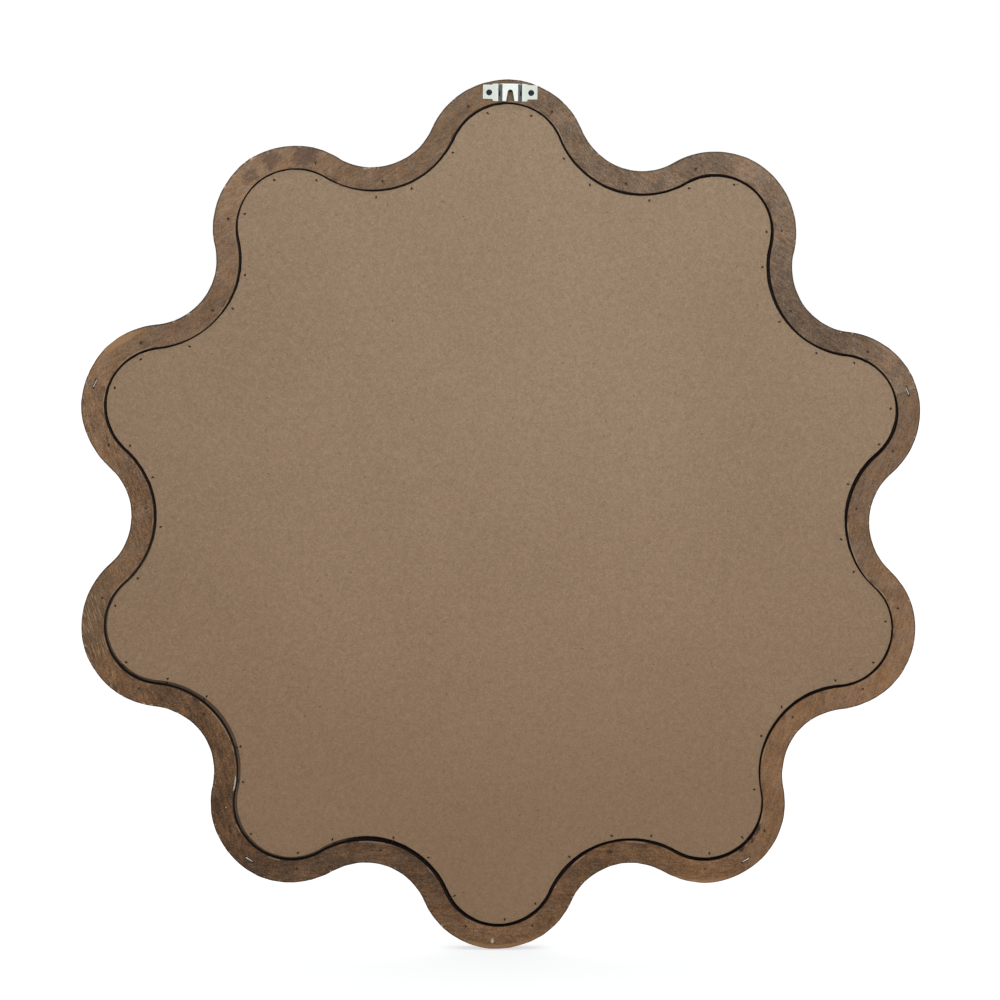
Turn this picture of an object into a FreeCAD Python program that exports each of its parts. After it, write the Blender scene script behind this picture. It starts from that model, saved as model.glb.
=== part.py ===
import FreeCAD, Part
import math
import os

from FreeCAD import Vector

# Wall mirror in a scalloped wooden frame, in millimetres.
# X is to the right as seen from the front, Y points to the wall, Z is up.
# The origin is the centre of the round top of the hanger's slot, in the plane that touches the wall.

# Scalloped outline: every lobe and every valley is one arc, and neighbouring arcs are tangent
segment_count = 5
lobes_per_segment = 2
tip_radius = 457.0
valley_radius = 387.0
lobe_radius = 85.0

# Frame: two rings of segments, glued face to face with their butt joints staggered like bricks
back_rail_width = 23.0
back_rail_depth = 9.0
back_edge_bevel = 1.0
front_rail_width = 35.0
front_rail_depth = 16.0
front_edge_bevel = 4.0
sight_edge_bevel = 2.0

# Glass and backing board, stacked in the rebate that the narrower back ring leaves
glass_thickness = 4.0
glass_clearance = 2.0
board_thickness = 3.0
board_clearance = 2.8

# Brads that slant outwards through the edge of the board and bite into the back ring
board_brad_count = 57
board_brad_setback = 5.2
board_brad_bite = 5.0

# Brads straight through the back ring into the front ring, clear of the points of the others
ring_brads_per_lobe = 3
ring_brad_bite = 9.0
ring_brad_clearance = 3.0

# Flat wire of all brads, and their uneven spacing by hand as a share of the spacing
brad_thickness = 1.0
brad_width = 1.25
brad_unevenness = 0.15
brad_wander = 2.4

# Staples driven flush across the butt joints of the back ring
staple_crown = 10.0
staple_leg = 8.0
staple_wire = 1.2
staple_setback = 10.2

# Hanger: a steel strip bent into a low bridge, with stepped ears and a slot that widens downwards
hanger_height = 18.0
hanger_sheet = 1.2
hanger_bend_radius = 1.0
bridge_rise = 3.5
bridge_flat = 16.6
bridge_ramp = 3.5
ear_shoulder = 5.8
ear_length = 10.9
ear_slant = 1.0
ear_drop_top = 1.2
ear_drop_bottom = 2.3
ear_corner_round = 0.8
slot_top_radius = 2.4
slot_mouth = 8.0
slot_length = 12.0
hanger_below_tip = 4.6
hanger_sideways = 2.5

# Cross-head screws that hold the hanger's ears
screw_setback = 6.7
screw_shank_radius = 1.5
screw_hole_clearance = 0.2
screw_head_radius = 3.1
screw_head_flat = 2.2
screw_head_rim = 1.0
screw_head_height = 1.8
screw_depth = 8.0
recess_span = 3.4
recess_width = 0.9
recess_depth = 1.0

# Depth levels, from the wall forwards
wall_y = 0.0
ear_back_y = wall_y - bridge_rise
back_y = ear_back_y - hanger_sheet
joint_y = back_y - back_rail_depth
front_y = joint_y - front_rail_depth
board_front_y = joint_y + glass_thickness
board_back_y = board_front_y + board_thickness

# The slot's round top lies at the origin, which places the hanger and the mirror's centre
hanger_top_z = hanger_height - slot_length + slot_top_radius
hanger_bottom_z = hanger_top_z - hanger_height
ramp_foot = bridge_flat / 2 + bridge_ramp
ear_step = ramp_foot + ear_shoulder
hanger_end = ear_step + ear_length
screw_z = (hanger_top_z + hanger_bottom_z) / 2
centre = Vector(hanger_sideways, 0, hanger_top_z + hanger_below_tip - tip_radius)

# Outline angles in degrees, anticlockwise from +X; the valley's arc follows from the tangency
top_angle = 90.0
half_turn = 180.0
lobe_count = segment_count * lobes_per_segment
lobe_pitch = 2 * half_turn / lobe_count
lobe_hub = tip_radius - lobe_radius
half_pitch = math.radians(lobe_pitch / 2)
lobe_reach = lobe_hub * math.cos(half_pitch)
valley_gain = lobe_radius ** 2 - valley_radius ** 2 - lobe_hub ** 2 + 2 * valley_radius * lobe_reach
valley_arc = valley_gain / (2 * (valley_radius - lobe_reach - lobe_radius))
valley_hub = valley_radius + valley_arc
hub_rise = valley_hub * math.sin(half_pitch)
hub_run = valley_hub * math.cos(half_pitch) - lobe_hub
lobe_half = math.degrees(math.atan2(hub_rise, hub_run))

# Insets from the outer outline
glass_inset = back_rail_width + glass_clearance
board_inset = back_rail_width + board_clearance
board_brad_inset = board_inset + board_brad_setback
ring_brad_inset = back_rail_width - board_brad_bite - ring_brad_clearance

# Turning about this axis is anticlockwise as seen from the front
turn_axis = Vector(0, -1, 0)


def polar(hub, radius, angle, y=0.0):
    turn = math.radians(angle)
    return Vector(hub.x + radius * math.cos(turn), y, hub.z + radius * math.sin(turn))


def pitch_arcs(lobe):
    # Half a lobe, a valley and half the next lobe: hub, radius, sign of an inset, start and sweep
    tip = top_angle + lobe * lobe_pitch
    next_tip = tip + lobe_pitch
    valley_start = tip + lobe_half + half_turn
    valley_sweep = lobe_pitch - 2 * lobe_half
    return [
        (polar(centre, lobe_hub, tip), lobe_radius, -1, tip, lobe_half),
        (polar(centre, valley_hub, tip + lobe_pitch / 2), valley_arc, 1, valley_start, valley_sweep),
        (polar(centre, lobe_hub, next_tip), lobe_radius, -1, next_tip - lobe_half, lobe_half),
    ]


outline = [arc for lobe in range(lobe_count) for arc in pitch_arcs(lobe)]


def outline_length(inset):
    return sum((radius + side * inset) * math.radians(abs(sweep)) for _, radius, side, _, sweep in outline)


def on_outline(distance, inset):
    # Point at a distance along the inset outline from the top tip, and its outward angle
    left = distance % outline_length(inset)
    for hub, radius, side, start, sweep in outline:
        arc_radius = radius + side * inset
        arc_length = arc_radius * math.radians(abs(sweep))
        if left <= arc_length:
            break
        left -= arc_length
    angle = start + sweep * left / arc_length
    outward = angle if side < 0 else angle + half_turn
    return polar(hub, arc_radius, angle), outward


def hand_spaced(count):
    # Even stations from half a step on, each shifted a little, as a share of the whole way round
    for index in range(count):
        yield (index + 0.5 + brad_unevenness * math.sin(brad_wander * index)) / count


def scallop_plate(inset, front, thickness):
    edges = []
    for hub, radius, side, start, sweep in outline:
        arc_radius = radius + side * inset
        stations = [polar(hub, arc_radius, start + sweep * share, front) for share in (0, 0.5, 1)]
        edges.append(Part.Arc(*stations).toShape())
    return Part.Face(Part.Wire(edges)).extrude(Vector(0, thickness, 0))


def rounded_face(corners):
    # Flat face through the corners, each a point and the radius of its round
    edges = []
    ends = []
    for index, (corner, radius) in enumerate(corners):
        to_last = (corners[index - 1][0] - corner).normalize()
        to_next = (corners[(index + 1) % len(corners)][0] - corner).normalize()
        half = to_last.getAngle(to_next) / 2
        setback = radius / math.tan(half)
        ends.append((corner + to_last * setback, corner + to_next * setback))
        if radius:
            middle = (to_last + to_next).normalize() * (radius / math.sin(half) - radius)
            edges.append(Part.Arc(ends[-1][0], corner + middle, ends[-1][1]).toShape())
    for index, (_, leaving) in enumerate(ends):
        edges.append(Part.LineSegment(leaving, ends[(index + 1) % len(ends)][0]).toShape())
    return Part.Face(Part.Wire(Part.__sortEdges__(edges)))


def rail_segment(section, first_lobe):
    # The rail's section, as inset and depth of each corner, turned about the hub of each arc
    pieces = []
    for lobe in range(first_lobe, first_lobe + lobes_per_segment):
        for hub, radius, side, start, sweep in pitch_arcs(lobe):
            corners = [Vector(radius + side * inset, y, 0) for inset, y in section]
            profile = Part.Face(Part.makePolygon(corners + corners[:1]))
            piece = profile.revolve(Vector(), turn_axis, abs(sweep))
            piece.rotate(Vector(), turn_axis, min(start, start + sweep))
            piece.translate(hub)
            pieces.append(piece)
    return pieces[0].multiFuse(pieces[1:]).removeSplitter().Solids[0]


def prism(corners, base, direction, width):
    # Outline of reach along the direction and depth, drawn out sideways about its middle
    reach = polar(Vector(), 1, direction)
    across = polar(Vector(), 1, direction + 90) * width
    points = [base + reach * out + Vector(0, y, 0) - across / 2 for out, y in corners]
    return Part.Face(Part.makePolygon(points + points[:1])).extrude(across)


def board_brad(base, outward):
    # The brad leaves the board through the middle of its edge, and its head is flush with the board
    slope = math.atan2(board_thickness / 2, board_brad_setback)
    run = board_brad_setback + board_clearance + board_brad_bite
    head = brad_thickness / 2 / math.sin(slope)
    lean = brad_thickness / 2 * math.sin(slope)
    rise = brad_thickness / 2 * math.cos(slope)
    end_y = board_back_y - run * math.tan(slope)
    corners = [
        (-head, board_back_y),
        (head, board_back_y),
        (run + lean, end_y + rise),
        (run - lean, end_y - rise),
    ]
    return prism(corners, base, outward, brad_width)


def ring_brad(base, outward):
    half = brad_thickness / 2
    end_y = joint_y - ring_brad_bite
    corners = [(-half, back_y), (half, back_y), (half, end_y), (-half, end_y)]
    return prism(corners, base, outward, brad_width)


def joint_staple(angle):
    half = staple_crown / 2
    inner = half - staple_wire
    end_y = back_y - staple_leg
    under_y = back_y - staple_wire
    corners = [
        (-half, back_y),
        (half, back_y),
        (half, end_y),
        (inner, end_y),
        (inner, under_y),
        (-inner, under_y),
        (-inner, end_y),
        (-half, end_y),
    ]
    return prism(corners, polar(centre, tip_radius - staple_setback, angle), angle + 90, staple_wire)


def hanger_screw(x):
    # Turned profile: pan head on the ear and shank in the wood; then the cross recess
    top_y = ear_back_y + screw_head_height
    end_y = back_y - screw_depth
    profile = [
        Vector(0, top_y, 0),
        Vector(screw_head_flat, top_y, 0),
        Vector(screw_head_radius, ear_back_y + screw_head_rim, 0),
        Vector(screw_head_radius, ear_back_y, 0),
        Vector(screw_shank_radius, ear_back_y, 0),
        Vector(screw_shank_radius, end_y, 0),
        Vector(0, end_y, 0),
        Vector(0, top_y, 0),
    ]
    screw = Part.Face(Part.makePolygon(profile)).revolve(Vector(), turn_axis, 2 * half_turn)
    long_way = recess_span / 2
    short_way = recess_width / 2
    for half_x, half_z in ((long_way, short_way), (short_way, long_way)):
        corner = Vector(-half_x, top_y - recess_depth, -half_z)
        screw = screw.cut(Part.makeBox(2 * half_x, 2 * recess_depth, 2 * half_z, corner))
    screw.translate(Vector(x, 0, screw_z))
    return screw.Solids[0]


def hanger_strip():
    # The strip's edge as a line of bends, given its thickness: ear, ramp, bridge, ramp, ear
    miter = hanger_sheet * math.tan(math.atan2(bridge_rise, bridge_ramp) / 2)
    inner = hanger_bend_radius
    outer = hanger_bend_radius + hanger_sheet
    foot = ramp_foot
    crest = bridge_flat / 2
    lower = [
        (-hanger_end, back_y, 0),
        (-foot, back_y, outer),
        (-crest, back_y + bridge_rise, inner),
        (crest, back_y + bridge_rise, inner),
        (foot, back_y, outer),
        (hanger_end, back_y, 0),
    ]
    upper = [
        (hanger_end, ear_back_y, 0),
        (foot + miter, ear_back_y, inner),
        (crest + miter, wall_y, outer),
        (-crest - miter, wall_y, outer),
        (-foot - miter, ear_back_y, inner),
        (-hanger_end, ear_back_y, 0),
    ]
    profile = rounded_face([(Vector(x, y, hanger_bottom_z), turn) for x, y, turn in lower + upper])
    return profile.extrude(Vector(0, 0, hanger_height))


def hanger_blank():
    # The strip's flat outline with its stepped ears, as deep as the bridge is high
    half = [
        (ear_step, hanger_bottom_z, 0),
        (ear_step + ear_slant, hanger_bottom_z + ear_drop_bottom, 0),
        (hanger_end, hanger_bottom_z + ear_drop_bottom, ear_corner_round),
        (hanger_end, hanger_top_z - ear_drop_top, ear_corner_round),
        (ear_step + ear_slant, hanger_top_z - ear_drop_top, 0),
        (ear_step, hanger_top_z, 0),
    ]
    mirrored = [(-x, z, turn) for x, z, turn in reversed(half)]
    outline_face = rounded_face([(Vector(x, back_y, z), turn) for x, z, turn in half + mirrored])
    return outline_face.extrude(Vector(0, wall_y - back_y, 0))


def hanger_slot():
    # Two sides from the mouth's corners, tangent to the round top; the mouth runs past the edge
    drop = slot_length - slot_top_radius
    mouth = slot_mouth / 2
    tangent = math.degrees(math.atan2(-drop, mouth) + math.acos(slot_top_radius / math.hypot(mouth, drop)))
    past = hanger_bottom_z - hanger_sheet
    right = polar(Vector(), slot_top_radius, tangent, back_y)
    left = polar(Vector(), slot_top_radius, half_turn - tangent, back_y)
    top = Vector(0, back_y, slot_top_radius)
    sides = [
        left,
        Vector(-mouth, back_y, -drop),
        Vector(-mouth, back_y, past),
        Vector(mouth, back_y, past),
        Vector(mouth, back_y, -drop),
        right,
    ]
    edges = Part.makePolygon(sides).Edges + [Part.Arc(right, top, left).toShape()]
    return Part.Face(Part.Wire(edges)).extrude(Vector(0, wall_y - back_y, 0))


def hanger():
    plate = hanger_strip().common(hanger_blank()).cut(hanger_slot())
    for x in screw_places:
        hole = Part.makeCylinder(
            screw_shank_radius + screw_hole_clearance, hanger_sheet, Vector(x, back_y, screw_z), Vector(0, 1, 0))
        plate = plate.cut(hole)
    return plate.Solids[0]


def pierced(solid, fasteners):
    tools = [tool for tool in fasteners if tool.BoundBox.intersect(solid.BoundBox)]
    return solid.cut(tools).Solids[0]


def save(node, solids):
    shape = solids[0] if len(solids) == 1 else Part.makeCompound(solids)
    shape.exportStep(os.path.join("parts", node + ".step"))


os.makedirs("parts", exist_ok=True)

# Fasteners first, because every piece of wood is pierced by them
way_round = outline_length(board_brad_inset)
board_brads = [
    board_brad(*on_outline(share * way_round, board_brad_inset)) for share in hand_spaced(board_brad_count)
]
way_round = outline_length(ring_brad_inset)
ring_brads = [
    ring_brad(*on_outline(share * way_round, ring_brad_inset))
    for share in hand_spaced(ring_brads_per_lobe * lobe_count)
]

# The joint at the top is held by the hanger instead of a staple
joint_staples = [
    joint_staple(top_angle + joint * lobes_per_segment * lobe_pitch) for joint in range(1, segment_count)
]
screw_places = (screw_setback - hanger_end, hanger_end - screw_setback)
hanger_screws = [hanger_screw(x) for x in screw_places]
fasteners = board_brads + ring_brads + joint_staples + hanger_screws

# Sections of the two rails: inset from the outline and depth level of each corner
back_section = [
    (0, joint_y),
    (0, back_y - back_edge_bevel),
    (back_edge_bevel, back_y),
    (back_rail_width, back_y),
    (back_rail_width, joint_y),
]
front_section = [
    (0, joint_y),
    (0, front_y + front_edge_bevel),
    (front_edge_bevel, front_y),
    (front_rail_width - sight_edge_bevel, front_y),
    (front_rail_width, front_y + sight_edge_bevel),
    (front_rail_width, joint_y),
]

# Back joints are at every second lobe tip from the top, front joints at the tips between them
for number in range(segment_count):
    back_start = number * lobes_per_segment
    front_start = back_start + lobes_per_segment // 2
    back_segment = rail_segment(back_section, back_start)
    front_segment = rail_segment(front_section, front_start)
    save(f"back_ring_segment_{number + 1}", [pierced(back_segment, fasteners)])
    save(f"front_ring_segment_{number + 1}", [pierced(front_segment, fasteners)])

glass = scallop_plate(glass_inset, joint_y, glass_thickness)
board = scallop_plate(board_inset, board_front_y, board_thickness)
save("mirror_glass", [glass])
save("backing_board", [pierced(board, board_brads)])
save("board_brads", board_brads)
save("ring_brads", ring_brads)
save("joint_staples", joint_staples)
save("hanger_plate", [hanger()])
save("hanger_screws", hanger_screws)
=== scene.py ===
import math
import bmesh
import bpy
from mathutils import Matrix, Vector, noise


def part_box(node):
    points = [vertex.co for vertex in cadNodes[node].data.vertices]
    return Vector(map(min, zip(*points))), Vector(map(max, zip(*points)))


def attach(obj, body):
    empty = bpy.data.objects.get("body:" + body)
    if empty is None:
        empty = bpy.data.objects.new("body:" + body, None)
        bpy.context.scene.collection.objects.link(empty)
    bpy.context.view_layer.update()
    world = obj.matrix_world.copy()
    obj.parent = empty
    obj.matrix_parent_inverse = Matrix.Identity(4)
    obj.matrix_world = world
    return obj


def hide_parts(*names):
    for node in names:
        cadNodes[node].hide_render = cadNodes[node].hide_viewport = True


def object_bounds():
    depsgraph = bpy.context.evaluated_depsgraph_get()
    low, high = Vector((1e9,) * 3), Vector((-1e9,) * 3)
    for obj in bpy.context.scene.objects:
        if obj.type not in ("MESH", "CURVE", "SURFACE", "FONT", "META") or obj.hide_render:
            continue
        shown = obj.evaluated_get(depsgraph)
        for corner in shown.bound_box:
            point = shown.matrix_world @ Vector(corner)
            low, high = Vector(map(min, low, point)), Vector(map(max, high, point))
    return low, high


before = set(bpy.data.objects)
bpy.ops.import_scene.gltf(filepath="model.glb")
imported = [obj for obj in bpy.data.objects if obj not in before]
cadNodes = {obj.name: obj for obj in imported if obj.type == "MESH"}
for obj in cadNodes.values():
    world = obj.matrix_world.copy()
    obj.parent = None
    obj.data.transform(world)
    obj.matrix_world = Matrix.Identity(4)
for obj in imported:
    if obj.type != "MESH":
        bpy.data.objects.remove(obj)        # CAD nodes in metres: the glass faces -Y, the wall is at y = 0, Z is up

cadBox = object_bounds()
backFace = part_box("back_ring_segment_1")[1].y      # back of the wood
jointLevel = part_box("back_ring_segment_1")[0].y    # where the two rings are glued together
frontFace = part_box("front_ring_segment_1")[0].y
paneLow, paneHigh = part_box("mirror_glass")
plateLow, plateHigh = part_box("hanger_plate")


# Outline: every lobe and valley is an arc about its own hub, and neighbours are tangent

scallop = {
    "lobes": 10,
    "lobesPerSegment": 2,
    "valleyRadius": 0.387,
    "lobeRadius": 0.085,
    "step": 0.0035,        # longest step along an arc
    "weld": 1e-5,
    "sharp": 1.2,          # radians, the edge between a plate's face and its rim
}
tipRadius = (cadBox[1].z - cadBox[0].z) / 2
centre = Vector(((paneLow.x + paneHigh.x) / 2, 0, (cadBox[0].z + cadBox[1].z) / 2))
topTurn = math.pi / 2
pitch = 2 * math.pi / scallop["lobes"]
valleyRadius = scallop["valleyRadius"]
lobeRadius = scallop["lobeRadius"]
lobeHub = tipRadius - lobeRadius
lobeReach = lobeHub * math.cos(pitch / 2)
valleyGain = lobeRadius ** 2 - valleyRadius ** 2 - lobeHub ** 2 + 2 * valleyRadius * lobeReach
valleyArc = valleyGain / (2 * (valleyRadius - lobeReach - lobeRadius))
valleyHub = valleyRadius + valleyArc
lobeHalf = math.atan2(valleyHub * math.sin(pitch / 2), valleyHub * math.cos(pitch / 2) - lobeHub)
pitchLength = 2 * lobeRadius * lobeHalf + valleyArc * (2 * lobeHalf - pitch)
turnAxis = Vector((0, -1, 0))        # anticlockwise as seen from the front


def around(hub, radius, turn, depth=0.0):
    return Vector((hub.x + radius * math.cos(turn), depth, hub.z + radius * math.sin(turn)))


def pitchArcs(lobe):        # half a lobe, a valley, half the next lobe
    tip = topTurn + lobe * pitch
    return [
        (around(centre, lobeHub, tip), lobeRadius, lobeHalf),
        (around(centre, valleyHub, tip + pitch / 2), valleyArc, pitch - 2 * lobeHalf),
        (around(centre, lobeHub, tip + pitch), lobeRadius, lobeHalf),
    ]


def sweepAlong(bm, geom, firstLobe, lobes):
    last = geom
    for lobe in range(firstLobe, firstLobe + lobes):
        for hub, radius, sweep in pitchArcs(lobe):
            steps = math.ceil(radius * abs(sweep) / scallop["step"])
            spun = bmesh.ops.spin(
                bm, geom=last, cent=hub, axis=turnAxis, angle=sweep, steps=steps, use_merge=False)
            last = spun["geom_last"]
    return last


def wrapped(turn):
    return (turn + math.pi) % (2 * math.pi) - math.pi


def outlinePlace(point):        # distance along the outline from the top, inset from it, outward direction
    turn = math.atan2(point.z - centre.z, point.x - centre.x)
    index = round(wrapped(turn - topTurn) / pitch)
    tip = topTurn + index * pitch
    fromHub = point - around(centre, lobeHub, tip, point.y)
    swing = wrapped(math.atan2(fromHub.z, fromHub.x) - tip)
    if abs(swing) <= lobeHalf:
        return index * pitchLength + lobeRadius * swing, lobeRadius - fromHub.length, fromHub.normalized()
    side = math.copysign(0.5, swing)
    toHub = around(centre, valleyHub, tip + side * pitch, point.y) - point
    swing = wrapped(math.atan2(toHub.z, toHub.x) - tip - side * pitch)
    return (index + side) * pitchLength - valleyArc * swing, toHub.length - valleyArc, toHub.normalized()


def strayed(point, size, reach, seed):        # smooth hand-made error along the outline
    return size * noise.noise(Vector((point.x, 0, point.z)) / reach + Vector((seed, seed, seed)))


# Shader maths: a socket with operators, and one way to add any other node

class Wire:
    def __init__(self, tree, socket=None):
        self.tree = tree
        self.socket = socket

    def make(self, kind, settings=None, inputs=None, output=0):
        node = self.tree.nodes.new(kind)
        for key, value in (settings or {}).items():
            if key == "stops":
                stops = node.color_ramp.elements
                stops.remove(stops[1])
                stops[0].position, stops[0].color = value[0][0], (*value[0][1], 1)
                for place, colour in value[1:]:
                    stops.new(place).color = (*colour, 1)
            else:
                setattr(node, key, value)
        for key, value in (inputs or {}).items():
            if isinstance(value, Wire):
                self.tree.links.new(value.socket, node.inputs[key])
            else:
                node.inputs[key].default_value = value
        return Wire(self.tree, node.outputs[output] if node.outputs else None)

    def maths(self, operation, first, second=0.0):
        return self.make("ShaderNodeMath", {"operation": operation}, {0: first, 1: second})

    def __add__(self, other):
        return self.maths("ADD", self, other)

    def __radd__(self, other):
        return self.maths("ADD", other, self)

    def __sub__(self, other):
        return self.maths("SUBTRACT", self, other)

    def __rsub__(self, other):
        return self.maths("SUBTRACT", other, self)

    def __mul__(self, other):
        return self.maths("MULTIPLY", self, other)

    def __rmul__(self, other):
        return self.maths("MULTIPLY", other, self)

    def __pow__(self, other):
        return self.maths("POWER", self, other)

    def size(self):
        return self.maths("ABSOLUTE", self)

    def greater(self, other):
        return self.maths("MAXIMUM", self, other)

    def between(self, low, high, start=0.0, end=1.0):        # smooth step, held at both ends
        return self.make(
            "ShaderNodeMapRange", {"interpolation_type": "SMOOTHSTEP"},
            {"Value": self, "From Min": low, "From Max": high, "To Min": start, "To Max": end})

    def moved(self, offset):
        return self.make("ShaderNodeVectorMath", {"operation": "SUBTRACT"}, {0: self, 1: offset})

    def stretched(self, scale):
        return self.make("ShaderNodeVectorMath", {"operation": "MULTIPLY"}, {0: self, 1: scale})

    def turned(self, turn):        # about Y
        return self.make("ShaderNodeMapping", {}, {"Vector": self, "Rotation": (0, turn, 0)})

    def axis(self, name):
        return self.make("ShaderNodeSeparateXYZ", {}, {0: self}, name)

    def grit(self, scale, detail=2.0, rough=0.5, bend=0.0):        # noise on this vector
        return self.make(
            "ShaderNodeTexNoise", {},
            {"Vector": self, "Scale": scale, "Detail": detail, "Roughness": rough, "Distortion": bend})

    def ramp(self, stops):
        return self.make("ShaderNodeValToRGB", {"stops": stops}, {"Fac": self})

    def blend(self, colour, share, mode="MIX"):
        return self.make(
            "ShaderNodeMix", {"data_type": "RGBA", "blend_type": mode}, {0: share, 6: self, 7: colour}, 2)


def newFinish(name):
    finish = bpy.data.materials.new(name)
    finish.use_nodes = True
    finish.node_tree.nodes.clear()
    start = Wire(finish.node_tree)
    return finish, start, start.make("ShaderNodeTexCoord", {}, {}, "Object")


def coat(start, inputs, height=None, depth=0.0002, strength=0.5):
    if height is not None:
        inputs["Normal"] = start.make(
            "ShaderNodeBump", {}, {"Height": height, "Distance": depth, "Strength": strength})
    surface = start.make("ShaderNodeBsdfPrincipled", {}, inputs)
    start.make("ShaderNodeOutputMaterial", {}, {"Surface": surface})


# Making pieces

making = {
    "smooth": math.radians(38),      # edges flatter than this are shaded smooth
    "flat": 0.999,                   # faces this square to the wall stay flat
    "weld": 1e-6,                    # joins the loose triangles of a CAD node
}


def looseObject(name, bm):
    mesh = bpy.data.meshes.new(name)
    bm.to_mesh(mesh)
    bm.free()
    item = bpy.data.objects.new(name, mesh)
    bpy.context.scene.collection.objects.link(item)
    return item


def addPiece(name, bm, finishes, slot, *nodes):
    for edge in bm.edges:
        edge.smooth = edge.calc_face_angle(0.0) < making["smooth"]
    for face in bm.faces:
        face.smooth = abs(face.normal.y) < making["flat"]
    piece = looseObject(name, bm)
    for finish in finishes:
        piece.data.materials.append(finish)
    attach(piece, "root")
    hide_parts(*nodes)
    print("made", name, "with", len(piece.data.polygons), "faces")


def carved(bm, cutters):        # bm less the cutters, whose faces keep their material index
    for tool in (bm, cutters):
        bmesh.ops.recalc_face_normals(tool, faces=tool.faces[:])
    block = looseObject("carveBlock", bm)
    tool = looseObject("carveTool", cutters)
    cut = block.modifiers.new("cut", "BOOLEAN")
    cut.operation = "DIFFERENCE"
    cut.solver = "EXACT"
    cut.use_self = True        # cutters may cross each other
    cut.object = tool
    result = bmesh.new()
    result.from_object(block, bpy.context.evaluated_depsgraph_get())
    for item in (block, tool):
        bpy.data.meshes.remove(item.data)
    return result


def solidsOf(node):        # corners of each separate solid in a CAD node, the highest first
    bm = bmesh.new()
    bm.from_mesh(cadNodes[node].data)
    bmesh.ops.remove_doubles(bm, verts=bm.verts[:], dist=making["weld"])
    left = list(bm.verts)
    solids = []
    while left:
        group = [left[0]]
        known = set(group)
        for vert in group:
            for edge in vert.link_edges:
                other = edge.other_vert(vert)
                if other not in known:
                    known.add(other)
                    group.append(other)
        left = [vert for vert in left if vert not in known]
        solids.append(sorted((vert.co.copy() for vert in group), key=lambda corner: -corner.y))
    bm.free()
    return solids


def middle(points):
    return sum(points, Vector()) / len(points)


def vertsIn(geom):
    return [item for item in geom if isinstance(item, bmesh.types.BMVert)]


def edgesIn(geom):
    return [item for item in geom if isinstance(item, bmesh.types.BMEdge)]


def drawOut(bm, rim, offset):        # extrude a rim of edges, and give the new rim
    grown = bmesh.ops.extrude_edge_only(bm, edges=rim)["geom"]
    bmesh.ops.translate(bm, verts=vertsIn(grown), vec=offset)
    return [edge for edge in edgesIn(grown) if edge.is_boundary]


def standing(place, outward):        # local X along the outline, Y to the wall, Z outward
    along = turnAxis.cross(outward)
    rows = Matrix((along, -turnAxis, outward)).transposed()
    return Matrix.Translation(place) @ rows.to_4x4()


# Camera, at the photo's distance and slant

shot = {
    "distance": 3.2,
    "swing": math.radians(3.219),      # towards +X
    "rise": math.radians(4.858),
    "roll": math.radians(0.672),
    "aim": (0.0033, 0.0204),           # beside and above the mirror's centre
    "lens": 110.13,
    "sensor": 36,
    "farClip": 100,
}


def setCamera():
    level = math.cos(shot["rise"])
    swing = shot["swing"]
    out = Vector((math.sin(swing) * level, math.cos(swing) * level, math.sin(shot["rise"])))
    eye = centre + shot["distance"] * out
    target = centre + Vector((shot["aim"][0], 0, shot["aim"][1]))
    ahead = (target - eye).normalized()
    right = ahead.cross(Vector((0, 0, 1))).normalized()
    up = right.cross(ahead)
    roll = Matrix.Rotation(-shot["roll"], 3, ahead)
    camera = bpy.data.objects.new("photoCamera", bpy.data.cameras.new("photoCamera"))
    camera.data.lens = shot["lens"]
    camera.data.sensor_width = shot["sensor"]
    camera.data.clip_end = shot["farClip"]
    rows = Matrix((roll @ right, roll @ up, -ahead)).transposed()
    camera.matrix_world = Matrix.Translation(eye) @ rows.to_4x4()
    bpy.context.scene.collection.objects.link(camera)
    bpy.context.scene.camera = camera
    print("camera set")


setCamera()


# Floor, white surroundings and lamps

studio = {
    "floorSize": 60.0,
    "floorDrop": 0.0012,        # under the lowest wood
    "floorColour": (0.27, 0.27, 0.27, 1),
    "floorRough": 0.9,
    "floorGlow": 0.66,          # a lit floor, which keeps shadows faint
    # surroundings by direction: where a change starts and ends, and the light on both sides of it
    "ceiling": (0.6, 0.8, 0.0, 2.0),
    "behind": (0.88, 0.985, 0.15, 1.1),
    "front": (-0.45, 0.25, 0.40, 0.95),        # what the glass faces, low down and higher up
    "frontSide": (-0.5, 0.0, 1, 0),
    "below": (-0.30, -0.14, 0.75, 0),          # what the hanger plate faces below
    "belowSide": (-0.1, 0.3, 0, 1),
    "tint": (1.0, 0.98, 0.96, 1),
    "key": {
        "place": (-0.08, 0.9, 0.75), "aim": (0, 0, 0.20), "width": 1.6, "height": 0.5,
        "watts": 11.6, "colour": (0.61, 0.84, 1.0)},
    "fill": {
        "place": (0, 1.5, -0.62), "aim": (0, 0, -0.35), "width": 1.8, "height": 0.4,
        "watts": 1.2, "colour": (1.0, 0.52, 0.20)},
}


def softBox(name, place, aim, width, height, watts, colour):
    lamp = bpy.data.lights.new(name, "AREA")
    lamp.shape = "RECTANGLE"
    lamp.size = width
    lamp.size_y = height
    lamp.energy = watts
    lamp.color = colour
    item = bpy.data.objects.new(name, lamp)
    item.location = centre + Vector(place)
    item.rotation_mode = "QUATERNION"
    item.rotation_quaternion = (Vector(aim) - Vector(place)).to_track_quat("-Z", "Y")
    item.visible_glossy = False
    bpy.context.scene.collection.objects.link(item)


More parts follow.
